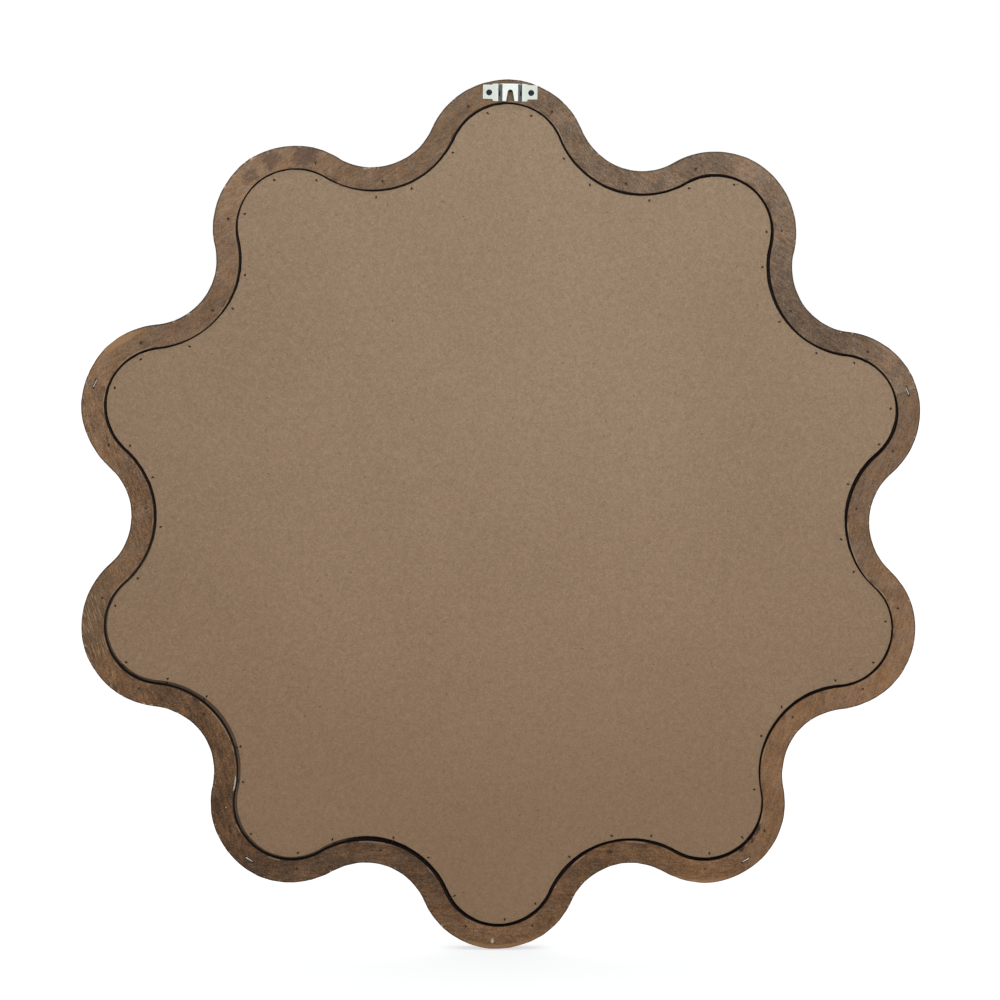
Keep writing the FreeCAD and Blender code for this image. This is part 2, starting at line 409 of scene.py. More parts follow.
def setStudio():
    bm = bmesh.new()
    bmesh.ops.create_grid(bm, x_segments=1, y_segments=1, size=studio["floorSize"] / 2)
    bmesh.ops.translate(bm, verts=bm.verts[:], vec=(centre.x, 0, cadBox[0].z - studio["floorDrop"]))
    floor = looseObject("floor", bm)
    paint, start = newFinish("floorPaint")[:2]
    coat(start, {
        "Base Color": studio["floorColour"], "Roughness": studio["floorRough"],
        "Emission Color": (1, 1, 1, 1), "Emission Strength": studio["floorGlow"]})
    floor.data.materials.append(paint)
    floor.visible_glossy = False        # the glass and the plate mirror the soft surroundings

    world = bpy.data.worlds.new("studioWhite")
    world.use_nodes = True
    world.node_tree.nodes.clear()
    start = Wire(world.node_tree)
    ray = start.make("ShaderNodeTexCoord", {}, {}, "Generated")
    seen = start.make("ShaderNodeLightPath", {}, {}, "Is Camera Ray")
    side = ray.axis("Y")
    rise = ray.axis("Z")
    front = rise.between(*studio["front"]) * side.between(*studio["frontSide"])
    below = rise.between(*studio["below"]) * side.between(*studio["belowSide"])
    lit = side.between(*studio["behind"]) + front + below + rise.between(*studio["ceiling"])
    light = start.make("ShaderNodeBackground", {}, {"Color": studio["tint"], "Strength": lit})
    plain = start.make("ShaderNodeBackground", {}, {"Color": (1, 1, 1, 1), "Strength": 1.0})
    back = start.make("ShaderNodeMixShader", {}, {0: seen, 1: light, 2: plain})
    start.make("ShaderNodeOutputWorld", {}, {"Surface": back})
    bpy.context.scene.world = world
    bpy.context.scene.view_settings.view_transform = "Standard"

    softBox("keyBox", **studio["key"])
    softBox("lowFill", **studio["fill"])
    print("studio set")


setStudio()


# The two rings of stained wood

backRail = {
    "side": "back",
    "face": backFace,
    "firstLobe": 0,
    "width": 0.023,
    "rounds": (0, 0.0012, 0.0005, 0),      # outer joint edge, outer arris, inner arris, inner joint edge
    "endBevel": 0.0004,
    "waver": 0.0007,        # how far a hand-guided saw strays
    "reach": 0.045,
    "overcut": 0.0004,      # how much wider it came out
    "fray": 0.0003,
    "tones": [        # lightness at five places along each segment
        (0.61, 0.58, 0.66, 0.48, 0.69), (0.58, 0.64, 0.88, 0.72, 0.72), (0.73, 0.51, 0.61, 0.34, 0.31),
        (0.30, 0.44, 0.50, 0.57, 0.76), (0.77, 0.58, 0.79, 0.52, 0.58)],
    "vigour": (0.88, 0.72, 0.97, 1.04, 0.70),      # strength of the figure in each segment
    "ages": [        # how grey the stain is at both ends of each segment
        (0.70, 0.74), (0.50, 0.14), (0.02, 0.24), (0.0, 0.37), (0.43, 0.46)],
    "piths": [0.10, 0.16, 0.13, 0.09, 0.12],      # heart of the tree from the middle of the rail
    "spots": {        # along, inset, half length, half width, mark
        # at the top: painted shadow of the hanger's raised bridge on the wood seen through its slot
        0: [(0.0025, 0.0108, 0.0032, 0.0024, "darkSmearAndShadow")],
        1: [(0.586, 0.0224, 0.010, 0.0022, "darkSmearAndShadow"), (0.602, 0.0214, 0.008, 0.0030, "darkSmearAndShadow"),
            (0.621, 0.0226, 0.006, 0.0024, "darkSmearAndShadow")],
        2: [(0.310, 0.0018, 0.050, 0.0026, "worn"), (0.055, 0.0016, 0.030, 0.0020, "worn"),
            (0.3195, 0.0090, 0.0017, 0.0026, "bare")],
        3: [(0.375, 0.0110, 0.070, 0.0150, "dry"), (0.318, 0.0100, 0.070, 0.0120, "sawn"),
            (0.105, 0.0221, 0.006, 0.0006, "bare"), (0.074, 0.0160, 0.0007, 0.0006, "bare")],
        4: [(0.053, 0.0030, 0.030, 0.0045, "worn"), (0.338, 0.0098, 0.010, 0.0085, "stain"),
            (0.376, 0.0105, 0.014, 0.0110, "stain"), (0.305, 0.0150, 0.014, 0.0060, "stain"),
            # painted shadow of the hanger's raised bridge, through its slot at this segment's end
            (0.629, 0.0108, 0.0032, 0.0024, "darkSmearAndShadow")],
    },
    "figure": {"fibre": 0.6, "mottle": 1.0, "speckle": 1.35, "rings": 0.3, "blotch": 1.0, "cloud": 0.4},
    "wallDark": 0.85,
    "wear": 0.75,
    "polish": 0.0,
    "gloss": 0.22,
    "stain": [
        (0.0, (0.040, 0.0200, 0.0102)),
        (0.35, (0.090, 0.0440, 0.0205)),
        (0.65, (0.160, 0.0780, 0.0345)),
        (1.0, (0.260, 0.1290, 0.0575)),
    ],
    "greyStain": [
        (0.0, (0.040, 0.0265, 0.0185)),
        (0.35, (0.090, 0.0580, 0.0380)),
        (0.65, (0.160, 0.1010, 0.0650)),
        (1.0, (0.260, 0.1640, 0.1060)),
    ],
}
frontRail = {
    "side": "front",
    "face": frontFace,
    "firstLobe": 1,
    "width": 0.035,
    "rounds": (0, 0.0052, 0.0026, 0),
    "endBevel": 0.0003,
    "waver": 0.0005,
    "reach": 0.06,
    "overcut": 0.0,
    "fray": 0.0,
    "tones": [
        (0.50, 0.52, 0.54, 0.51, 0.48), (0.48, 0.50, 0.52, 0.54, 0.56), (0.56, 0.53, 0.50, 0.52, 0.50),
        (0.52, 0.54, 0.56, 0.50, 0.52), (0.54, 0.51, 0.48, 0.50, 0.52)],
    "vigour": (1.0, 0.9, 1.0, 1.1, 1.0),
    "ages": [(0.3, 0.2), (0.1, 0.3), (0.2, 0.2), (0.4, 0.2), (0.2, 0.3)],
    "piths": [0.12, 0.15, 0.10, 0.17, 0.11],
    "spots": {},
    "figure": {"fibre": 0.8, "mottle": 0.45, "speckle": 0.3, "rings": 0.75, "blotch": 0.5, "cloud": 0.5},
    "wallDark": 0.25,
    "wear": 0.2,
    "polish": 0.28,
    "gloss": 0.34,
    "stain": [
        (0.0, (0.035, 0.0165, 0.0085)),
        (0.4, (0.095, 0.0470, 0.0230)),
        (0.7, (0.160, 0.0840, 0.0430)),
        (1.0, (0.245, 0.1400, 0.0760)),
    ],
    "greyStain": [
        (0.0, (0.035, 0.0200, 0.0120)),
        (0.4, (0.095, 0.0550, 0.0320)),
        (0.7, (0.160, 0.0970, 0.0580)),
        (1.0, (0.245, 0.1560, 0.0980)),
    ],
}
marks = {
    "stain": ((0.052, 0.028, 0.023, 1), 0.48),      # colour and strength
    # dark paint residue near the gap, and painted shadow under the hanger's slot
    "darkSmearAndShadow": ((0.016, 0.011, 0.009, 1), 0.85),
    "bare": ((0.52, 0.42, 0.33, 1), 0.75),
    "smudge": ((0.040, 0.024, 0.018, 1), 0.55),
    "worn": ((0.310, 0.165, 0.070, 1), 0.6),
    "dry": ((0.160, 0.112, 0.068, 1), 0.22),
    "sawn": ((0.395, 0.238, 0.115, 1), 0.70),      # pale saw lines along the grain
}
bradSmudge = (0.0022, 0.0017)      # half length and half width
saw = {
    "outerSeed": 3,
    "innerSeed": 11,
    "fraySeed": 5,
    "frayReach": 0.007,
    "roundSteps": 5,
    "endSteps": 2,
    "slack": 0.01,         # a segment's start may read a little below 0
}
wood = {
    "taper": 0.22,         # how fast the rings open along the board
    "drift": 0.012,        # how far they wander
    "ringScale": 230,
    "poreDark": 0.25,
    "scratchPale": 0.1,
    "scratchTurn": 0.5,
    "hueSpread": 1.6,
    "rough": (0.70, 0.18),      # least, and what the fibre adds
    "ragged": (5, 4),      # how much blotch and mottle break up the edge of a spot
}
edging = {        # insets and depths in metres, colours and strengths
    "outerArris": (0.0003, 0.0019),
    "innerArris": 0.0003,
    # painted shade on the inner wall, down in the gap
    "innerWallShade": 0.92,
    "seam": (0.0003, 0.0010),
    "seamDark": 0.85,
    # colour of the dark stain on the outer edge and seam, and of the painted shade on the inner wall
    "darkStainAndShade": (0.015, 0.009, 0.006, 1),
    "smearFrom": 0.005,
    "smearTo": 0.0005,
    "smear": (0.024, 0.015, 0.011, 1),
    "smearShare": 0.6,
    "bareLine": (0.0018, 0.0009),
    "bare": (0.30, 0.20, 0.125, 1),
    "bareShare": 0.45,
    "chipInset": (0.0012, 0.0034),
    "chipDepth": (0.0004, 0.0016),
    "chip": (0.40, 0.29, 0.20, 1),
}
nailHole = {
    "radius": 0.0010,
    "depth": 0.0008,
    "sides": 14,
    "oval": (1.35, 1, 0.8, 1),
    "taper": (0.7, 1.25),      # radius at the floor and at the mouth
    "turn": 2.4,               # from one hole to the next
    "groove": (0.0058, 0.0011, 0.0005),      # half length, half width and depth of a staple's bed
    "crumbs": [(0.3, (0.016, 0.010, 0.007)), (0.7, (0.065, 0.040, 0.024))],
}


def segmentTurn(lobe):        # middle of a segment that starts at this lobe
    return topTurn + (lobe + scallop["lobesPerSegment"] / 2) * pitch


def segmentAlong(along, lobe):        # the same place, measured from the start of the segment
    return (along - lobe * pitchLength + saw["slack"]) % (scallop["lobes"] * pitchLength) - saw["slack"]


def stainedWood(rail, number, lobe):
    finish, start, place = newFinish(f"{rail['side']}Wood{number + 1}")
    strip = start.make("ShaderNodeUVMap", {"uv_map": "strip"})
    along = strip.axis("X")
    inset = strip.axis("Y")
    seed = 3.1 * number + len(rail["side"])        # each board has a figure of its own
    turn = segmentTurn(lobe)
    # X of the grain runs along the segment's own board
    grain = place.moved(around(centre, valleyRadius, turn)).turned(turn + math.pi / 2)
    fibre = grain.moved((seed, 0, 0)).stretched((40, 560, 560)).grit(1.0, 4, 0.65)
    pore = grain.moved((0, seed, 0)).stretched((110, 1500, 1500)).grit(1.0, 1, 0.5).between(0.62, 0.74)
    lengthwise = grain.axis("X")
    pith = ((lengthwise * wood["taper"]) ** 2 + (grain.axis("Z") + rail["piths"][number]) ** 2) ** 0.5
    drift = grain.moved((0, 0, seed)).stretched((5, 20, 20)).grit(1.0, 2, 0.5)
    ringSpace = start.make("ShaderNodeCombineXYZ", {}, {
        0: pith + drift * wood["drift"], 1: lengthwise * wood["drift"], 2: seed})
    rings = ringSpace.grit(wood["ringScale"], 3, 0.55)
    speckle = place.moved((0, seed, 0)).grit(620, 2, 0.6)
    mottle = grain.moved((seed, 0, seed)).stretched((150, 360, 360)).grit(1.0, 4, 0.68, 0.3)
    blotch = place.moved((seed, seed, seed)).grit(30, 5, 0.66, 0.6)
    cloud = place.moved((0, 0, seed)).grit(8, 2, 0.5)
    hue = place.moved((seed, 0, 0)).grit(90, 3, 0.6)
    sawn = grain.moved((0, seed, seed)).stretched((64, 640, 640)).grit(1.0, 2, 0.6).between(0.52, 0.66)
    slanted = grain.moved((seed, seed, 0)).turned(wood["scratchTurn"])
    scratch = slanted.stretched((45, 900, 900)).grit(1.0, 2, 0.6).between(0.60, 0.74)

    share = along * (1 / (scallop["lobesPerSegment"] * pitchLength))
    tones = rail["tones"][number]
    tone = tones[0]
    spans = len(tones) - 1
    for step in range(spans):
        tone = tone + share.between(step / spans, (step + 1) / spans, 0, tones[step + 1] - tones[step])
    shade = tone - pore * wood["poreDark"] + scratch * wood["scratchPale"]
    layers = {
        "fibre": fibre, "mottle": mottle, "speckle": speckle,
        "rings": rings, "blotch": blotch, "cloud": cloud}
    for name, layer in layers.items():
        shade = shade + (layer - 0.5) * (rail["figure"][name] * rail["vigour"][number])
    age = (hue - 0.5) * wood["hueSpread"] + share.between(0, 1, *rail["ages"][number])
    colour = shade.ramp(rail["stain"]).blend(shade.ramp(rail["greyStain"]), age)

    # dark stain on the outer arris and wall and at the glue seam, painted shade on the inner wall down in the gap,
    # smears and a bare line along the inner edge, worn chips
    wide = rail["width"]
    arrisAt = wide - edging["innerArris"]
    darkStainAndShade = inset.between(*edging["outerArris"], rail["wallDark"], 0)
    # painted shade: the inner wall, down in the gap, darkened as if in shadow
    darkStainAndShade = darkStainAndShade.greater(inset.between(arrisAt, wide, 0, edging["innerWallShade"]))
    fromSeam = (place.axis("Y") - jointLevel).size()
    darkStainAndShade = darkStainAndShade.greater(fromSeam.between(*edging["seam"], edging["seamDark"], 0))
    colour = colour.blend(edging["darkStainAndShade"], darkStainAndShade)
    smear = inset.between(wide - edging["smearFrom"], wide - edging["smearTo"])
    smear = smear * place.grit(60, 3, 0.6).between(0.56, 0.68)
    colour = colour.blend(edging["smear"], smear * edging["smearShare"])
    lineFrom, lineTo = edging["bareLine"]
    bare = inset.between(wide - lineFrom, wide - lineTo) * inset.between(arrisAt, wide, 1, 0)
    bare = bare * place.grit(34, 2, 0.5).between(0.56, 0.62)
    colour = colour.blend(edging["bare"], bare * edging["bareShare"])
    fromFace = (place.axis("Y") - rail["face"]).size()
    arris = inset.between(*edging["chipInset"], 1, 0) * fromFace.between(*edging["chipDepth"], 1, 0)
    chip = arris * place.grit(230, 3, 0.6).between(0.60, 0.67)
    colour = colour.blend(edging["chip"], chip * rail["wear"])
    spots = rail["spots"].get(number, []) + (bradSmudges(lobe) if rail["side"] == "back" else [])
    torn = (blotch - 0.5) * wood["ragged"][0] + (mottle - 0.5) * wood["ragged"][1]
    for spotAlong, spotInset, halfLength, halfWidth, mark in spots:
        away = ((along - spotAlong) * (1 / halfLength)) ** 2 + ((inset - spotInset) * (1 / halfWidth)) ** 2
        spot = (away + torn).between(0.1, 1.5, 1, 0)
        if mark == "sawn":
            spot = spot * sawn
        colour = colour.blend(marks[mark][0], spot * marks[mark][1])
    rough = wood["rough"][0] + fibre * wood["rough"][1] - rail["polish"]
    height = fibre * 0.8 + rings * 0.3 + scratch * 0.35 - pore * 0.9
    coat(
        start, {"Base Color": colour, "Roughness": rough, "Specular IOR Level": rail["gloss"]},
        height, depth=0.0003, strength=0.35)
    return finish


def bradSmudges(lobe):        # soft dark stains round the brads of a segment that starts at this lobe
    found = []
    for corners in solidsOf("ring_brads"):
        along, inset = outlinePlace(middle(corners[:4]))[:2]
        along = segmentAlong(along, lobe)
        if along < scallop["lobesPerSegment"] * pitchLength:
            found.append((along, inset, *bradSmudge, "smudge"))
    return found


def holeFinish():
    finish, start, place = newFinish("nailHoleWood")
    crumb = place.grit(900, 3, 0.6)
    coat(
        start, {"Base Color": crumb.ramp(nailHole["crumbs"]), "Roughness": 0.95},
        crumb, depth=0.0002, strength=0.6)
    return finish


def railSegment(rail, lobe):
    bm = bmesh.new()
    tip = topTurn + lobe * pitch
    wide = rail["width"]
    corners = [(0, jointLevel), (0, rail["face"]), (wide, rail["face"]), (wide, jointLevel)]
    verts = [bm.verts.new(around(centre, tipRadius - inset, tip, depth)) for inset, depth in corners]
    for index in range(4):
        bm.edges.new((verts[index - 1], verts[index]))
    for vert, size in zip(verts, rail["rounds"]):
        if size:
            bmesh.ops.bevel(
                bm, geom=[vert], offset=size, segments=saw["roundSteps"], profile=0.5, affect="VERTICES",
                material=-1)
    section = bm.edges[:]
    last = sweepAlong(bm, bm.verts[:] + section, lobe, scallop["lobesPerSegment"])
    rims = section + edgesIn(last)
    bmesh.ops.contextual_create(bm, geom=section)
    bmesh.ops.contextual_create(bm, geom=edgesIn(last))
    bmesh.ops.recalc_face_normals(bm, faces=bm.faces[:])
    bmesh.ops.bevel(
        bm, geom=rims, offset=rail["endBevel"], segments=saw["endSteps"], profile=0.5, affect="EDGES",
        material=-1, clamp_overlap=True)

    # UV in metres: along the segment from its start, and inset from the outer edge
    layer = bm.loops.layers.uv.new("strip")
    for face in bm.faces:
        for loop in face.loops:
            along, inset = outlinePlace(loop.vert.co)[:2]
            loop[layer].uv = (segmentAlong(along, lobe), inset)
    for vert in bm.verts:
        inset, outward = outlinePlace(vert.co)[1:]
        share = inset / wide
        outer = strayed(vert.co, rail["waver"], rail["reach"], saw["outerSeed"])
        outer += strayed(vert.co, rail["fray"], saw["frayReach"], saw["fraySeed"])
        inner = strayed(vert.co, rail["waver"], rail["reach"], saw["innerSeed"]) - rail["overcut"]
        vert.co += outward * (outer * (1 - share) + inner * share)
    return bm


def addPit(cutters, index, head, radius, depth):        # a ragged round hole, each turned its own way
    shape = Matrix.Translation(head) @ Matrix.Rotation(nailHole["turn"] * index, 4, "Y")
    shape = shape @ Matrix.Diagonal(nailHole["oval"])
    floor, mouth = nailHole["taper"]
    bmesh.ops.create_cone(
        cutters, cap_ends=True, segments=nailHole["sides"], radius1=radius * floor, radius2=radius * mouth,
        depth=2 * depth, matrix=shape @ Matrix.Rotation(-math.pi / 2, 4, "X"))


def nailHoles():
    cutters = bmesh.new()
    for index, corners in enumerate(solidsOf("ring_brads")):
        addPit(cutters, index, middle(corners[:4]), nailHole["radius"], nailHole["depth"])
    halfLength, halfWidth, depth = nailHole["groove"]
    for corners in solidsOf("joint_staples"):
        top = middle(corners[:4])
        size = Matrix.Diagonal((2 * halfLength, 2 * depth, 2 * halfWidth, 1))
        bmesh.ops.create_cube(cutters, size=1, matrix=standing(top, outlinePlace(top)[2]) @ size)
    for face in cutters.faces:
        face.material_index = 1
    return cutters


holeWood = holeFinish()
for rail in (backRail, frontRail):
    for number in range(scallop["lobes"] // scallop["lobesPerSegment"]):
        lobe = rail["firstLobe"] + number * scallop["lobesPerSegment"]
        ringBm = railSegment(rail, lobe)
        if rail["side"] == "back":
            ringBm = carved(ringBm, nailHoles())
        addPiece(
            f"{rail['side']}_rail_{number + 1}", ringBm, [stainedWood(rail, number, lobe), holeWood],
            f"{rail['side']}_ring_wood", f"{rail['side']}_ring_segment_{number + 1}")


# Mirror pane and backing board

pane = {
    "inset": 0.025,
    "arris": 0.0005,
    "silver": (0.86, 0.88, 0.87, 1),
    "haze": (0.012, 0.05),        # roughness where it is clean and where it is not
    # back paint darkened to near black: painted shade down in the gap
    "paint": [(0.3, (0.003, 0.0025, 0.002)), (0.7, (0.010, 0.008, 0.006))],
    "cornerPaint": (0.135, 0.090, 0.060, 1),
    "cornerTowards": (0.85, 0.53),      # to +X and down
    "cornerFrom": (0.29, 0.34),
}
board = {
    "inset": 0.0258,
    "short": 0.0004,             # cut a little smaller than its recess
    "offset": (-0.0003, 0.0008),     # sideways and upwards
    "skew": 0.00065,
    "waver": 0.0013,
    "reach": 0.085,
    "seed": 21,
    "arris": 0.0003,
    "ragged": 0.0003,
    "raggedReach": 0.007,
    "raggedSeed": 31,
    "pitRadius": 0.0012,
    "pitDepth": 0.0007,
    "splitEvery": 7,             # brads whose wire has torn the board a little
    "split": (0.0030, 0.0005, 0.0005),      # length, width, depth
    "splitTurn": 0.3,
    "tan": [(0.0, (0.151, 0.089, 0.0495)), (0.5, (0.226, 0.140, 0.0825)), (1.0, (0.303, 0.195, 0.121))],
    "fleck": (0.085, 0.048, 0.026, 1),
    "paleFleck": (0.34, 0.235, 0.155, 1),
    "lowShade": (0.190, 0.102, 0.049, 1),
    "lowShadeHeight": (-0.85, -0.40, 0.3, 0),      # painted shade, browner and darker low down
    "middleLight": (0.01, 0.12, 0.09, 0),            # painted light, paler in the middle, by the square of the distance
    "sideShade": 0.1,                             # painted shade, darker towards +X
}


def boardStray(point):
    outward = outlinePlace(point)[2]
    ray = (point - centre).normalized()
    gap = board["short"] - board["skew"] * 2 * ray.x * ray.z
    gap += strayed(point, board["waver"], board["reach"], board["seed"])
    gap += strayed(point, board["ragged"], board["raggedReach"], board["raggedSeed"])
    return Vector((board["offset"][0], 0, board["offset"][1])) - outward * gap


def scallopPlate(inset, low, high, arris, stray=None):
    bm = bmesh.new()
    start = bm.verts.new(around(centre, tipRadius - inset, topTurn, low))
    sweepAlong(bm, [start], 0, scallop["lobes"])
    bmesh.ops.remove_doubles(bm, verts=bm.verts[:], dist=scallop["weld"])
    if stray:
        for vert in bm.verts:
            vert.co += stray(vert.co)
    bmesh.ops.contextual_create(bm, geom=bm.edges[:])
    grown = bmesh.ops.extrude_face_region(bm, geom=bm.faces[:])["geom"]
    bmesh.ops.translate(bm, verts=vertsIn(grown), vec=(0, high - low, 0))
    bmesh.ops.recalc_face_normals(bm, faces=bm.faces[:])
    rims = [edge for edge in bm.edges if edge.calc_face_angle(0.0) > scallop["sharp"]]
    bmesh.ops.bevel(bm, geom=rims, offset=arris, segments=2, profile=0.5, affect="EDGES", material=-1)
    return bm


def silverFinish():
    finish, start, place = newFinish("silveredGlass")
    haze = place.grit(7, 4, 0.6).between(0.45, 0.75, *pane["haze"])
    coat(start, {"Base Color": pane["silver"], "Metallic": 1.0, "Roughness": haze})
    return finish


def paintFinish():
    finish, start, place = newFinish("mirrorBackPaint")
    streak = place.stretched((40, 40, 7)).grit(1.0, 3, 0.6)
    sideways, down = pane["cornerTowards"]
    lean = (place.axis("X") - centre.x) * sideways - (place.axis("Z") - centre.z) * down
    cornerShare = (lean + (streak - 0.5) * 0.1).between(*pane["cornerFrom"])        # browner towards one low corner; elsewhere the near-black paint is painted shade in the gap
    colour = streak.ramp(pane["paint"]).blend(pane["cornerPaint"], cornerShare)
    coat(
        start, {"Base Color": colour, "Roughness": 0.6, "Specular IOR Level": 0.06},
        streak, depth=0.0001, strength=0.3)
    return finish


def boardFinish():
    finish, start, place = newFinish("tanHardboard")
    fine = place.grit(800, 3, 0.65)
    pulp = place.grit(240, 3, 0.6)
    wide = place.grit(5, 2, 0.5)
    fleck = place.grit(330, 1, 0.4).between(0.735, 0.775)
    pale = place.stretched((1, 1, 1.7)).grit(260, 1, 0.4).between(0.73, 0.78)
    across = place.axis("X") - centre.x
    # painted light: paler towards the middle of the board
    middleLight = (across ** 2 + (place.axis("Z") - centre.z) ** 2).between(*board["middleLight"])
    tone = 0.5 + (fine - 0.5) * 1.9 + (pulp - 0.5) * 0.5 + (wide - 0.5) * 0.25
    # painted shade towards +X and painted light in the middle
    colour = (tone - across * board["sideShade"] + middleLight).ramp(board["tan"])
    colour = colour.blend(board["fleck"], fleck * 0.75)
    colour = colour.blend(board["paleFleck"], pale * 0.5)
    # painted shade: the board browner and darker towards the bottom
    colour = colour.blend(board["lowShade"], place.axis("Z").between(*board["lowShadeHeight"]))
    coat(
        start, {"Base Color": colour, "Roughness": 0.68 + fine * 0.2, "Specular IOR Level": 0.25},
        fine * 0.7 + pulp * 0.5, depth=0.0002, strength=0.25)
    return finish


def bradPits():
    cutters = bmesh.new()
    length, width, splitDepth = board["split"]
    for index, corners in enumerate(solidsOf("board_brads")):
        head = middle(corners[:4])
        outward = outlinePlace(head)[2]
        addPit(cutters, index, head, board["pitRadius"], board["pitDepth"])
        if index % board["splitEvery"] == 1:
            slit = standing(head + outward * length / 2, outward)
            slit = slit @ Matrix.Rotation(board["splitTurn"], 4, "Y")
            bmesh.ops.create_cube(
                cutters, size=1, matrix=slit @ Matrix.Diagonal((width, 2 * splitDepth, length, 1)))
    for face in cutters.faces:
        face.material_index = 1
    return cutters


def makePane():
    bm = scallopPlate(pane["inset"], paneLow.y, paneHigh.y, pane["arris"])
    for face in bm.faces:
        face.material_index = 0 if face.normal.y < -0.5 else 1
    addPiece("mirror_pane", bm, [silverFinish(), paintFinish()], "mirror_glass", "mirror_glass")


def makeBoard():
    low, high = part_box("backing_board")
    bm = scallopPlate(board["inset"], low.y, high.y, board["arris"], boardStray)
    bm = carved(bm, bradPits())
    addPiece("board_sheet", bm, [boardFinish(), holeWood], "hardboard", "backing_board")


makePane()
makeBoard()


# Brads, staples, hanger and its screws

brad = {
    "facets": 8,
    "point": 0.30,         # radius at the point, by the width of the wire
    "head": 0.52,
    "crownInset": 0.16,
    "crown": 0.0002,       # height of the hammered crown
    "sunk": 0.0002,
    "steel": [(0.35, (0.018, 0.016, 0.015)), (0.7, (0.060, 0.042, 0.030))],
}
staple = {
    "crown": 0.0100,
    "leg": 0.0078,
    "wire": 0.0012,
    "facets": 10,
    "sunk": 0.0002,
    "bend": 0.0009,
    "bendSteps": 5,
    "lean": 2.6,           # degrees, the lower end driven deeper
    "tilts": (-6, 5, -5, 8),      # degrees, each driven a little askew
    "steel": [(0.3, (0.70, 0.70, 0.67)), (0.7, (0.92, 0.92, 0.89))],
}
hanger = {
    "sheet": 0.0012,
    "bridge": 0.0174,
    "ramp": 0.0028,
    "bend": 0.0009,
    "bendCuts": (-1, -0.6, -0.2, 0.2, 0.6, 1),
    "easing": 8,           # stations on each side of a point
    "shoulder": 0.0061,
    "earSlant": 0.0010,
    "earTop": 0.0012,
    "earBottom": 0.0023,
    "earRound": 0.0008,
    "slotTop": 0.0024,
    "slotMouth": 0.0080,
    "slotSteps": 14,
    "slotRound": 0.0004,
    "slotMargin": 0.0005,
    "arris": 0.0002,
    "sharp": math.radians(50),
    "cutWeld": 1e-7,
    "zinc": [(0.3, (0.76, 0.82, 0.79)), (0.7, (0.86, 0.91, 0.88))],
    "dull": (0.62, 0.69, 0.635, 1),
    "dullFrom": (0.010, 0.016),      # on the ears
    "smudge": (0.46, 0.50, 0.47, 1),
}
screw = {
    "setback": 0.0067,
    "head": 0.0031,
    "crown": 0.0018,
    "rim": 0.0009,
    "dome": [(0.45, 0.00012), (0.8, 0.0005)],      # share of the head's radius, and drop from its top
    "facets": 28,
    "shank": 0.0015,
    "clearance": 1.13,     # hole in the plate, by the shank
    "depth": 0.0080,
    "pointAt": 0.8,        # share of the depth at which the point starts
    "crossSpan": 0.0036,
    "crossWidth": 0.0009,
    "crossDepth": 0.0010,
    "crossTurn": 0.3,
    "weld": 1e-7,
    "black": [(0.4, (0.005, 0.006, 0.010)), (0.75, (0.022, 0.025, 0.034))],
}


def darkWire():
    finish, start, place = newFinish("dullDarkWire")
    rust = place.grit(700, 3, 0.6)
    rough = 0.5 + rust * 0.3
    coat(
        start, {"Base Color": rust.ramp(brad["steel"]), "Metallic": 0.6, "Roughness": rough},
        rust, depth=0.0001, strength=0.4)
    return finish


def brightWire():
    finish, start, place = newFinish("galvanisedWire")
    drawn = place.grit(900, 2, 0.6)
    rough = 0.14 + drawn * 0.16
    coat(
        start, {"Base Color": drawn.ramp(staple["steel"]), "Metallic": 1.0, "Roughness": rough},
        drawn, depth=0.0001, strength=0.25)
    return finish


def zincFinish():
    finish, start, place = newFinish("brightZinc")
    spangle = place.grit(260, 2, 0.5)
    rub = place.stretched((90, 90, 1300)).grit(1.0, 2, 0.6)
    smudge = place.grit(120, 3, 0.6).between(0.60, 0.72)
    ear = (place.axis("X").size() + (spangle - 0.5) * 0.004).between(*hanger["dullFrom"])
    colour = spangle.ramp(hanger["zinc"]).blend(hanger["dull"], ear * 0.85)
    colour = colour.blend(hanger["smudge"], smudge * 0.45)
    rough = 0.08 + rub * 0.06 + smudge * 0.12
    coat(
        start, {"Base Color": colour, "Metallic": 1.0, "Roughness": rough},
        rub, depth=0.00005, strength=0.12)
    return finish


def blackFinish():
    finish, start, place = newFinish("blackScrew")
    worn = place.grit(1100, 3, 0.6)
    rough = 0.36 + worn * 0.2
    coat(
        start, {"Base Color": worn.ramp(screw["black"]), "Metallic": 0.3, "Roughness": rough},
        worn, depth=0.00008, strength=0.25)
    return finish


def makeBrads(name, node):
    bm = bmesh.new()
    for corners in solidsOf(node):
        head, tip = middle(corners[:4]), middle(corners[4:])
        run = tip - head
        outward = outlinePlace(head)[2]
        across = turnAxis.cross(outward)
        place = Matrix((across, run.cross(across).normalized(), -run.normalized())).transposed().to_4x4()
        sides = [corner.dot(across) for corner in corners]
        size = max(sides) - min(sides)
        seat = Matrix.Translation((head + tip) / 2 - Vector((0, brad["sunk"], 0)) / 2)
        made = bmesh.ops.create_cone(
            bm, cap_ends=True, segments=brad["facets"], radius1=size * brad["point"],
            radius2=size * brad["head"], depth=run.length - brad["sunk"], matrix=seat @ place)
        caps = {face for vert in made["verts"] for face in vert.link_faces if len(face.verts) > 4}
        crown = max(caps, key=lambda face: face.calc_center_median().y)
        bmesh.ops.inset_individual(
            bm, faces=[crown], thickness=size * brad["crownInset"], depth=brad["crown"])
    bmesh.ops.recalc_face_normals(bm, faces=bm.faces[:])
    addPiece(name, bm, [bradWire], "dark_brads", node)


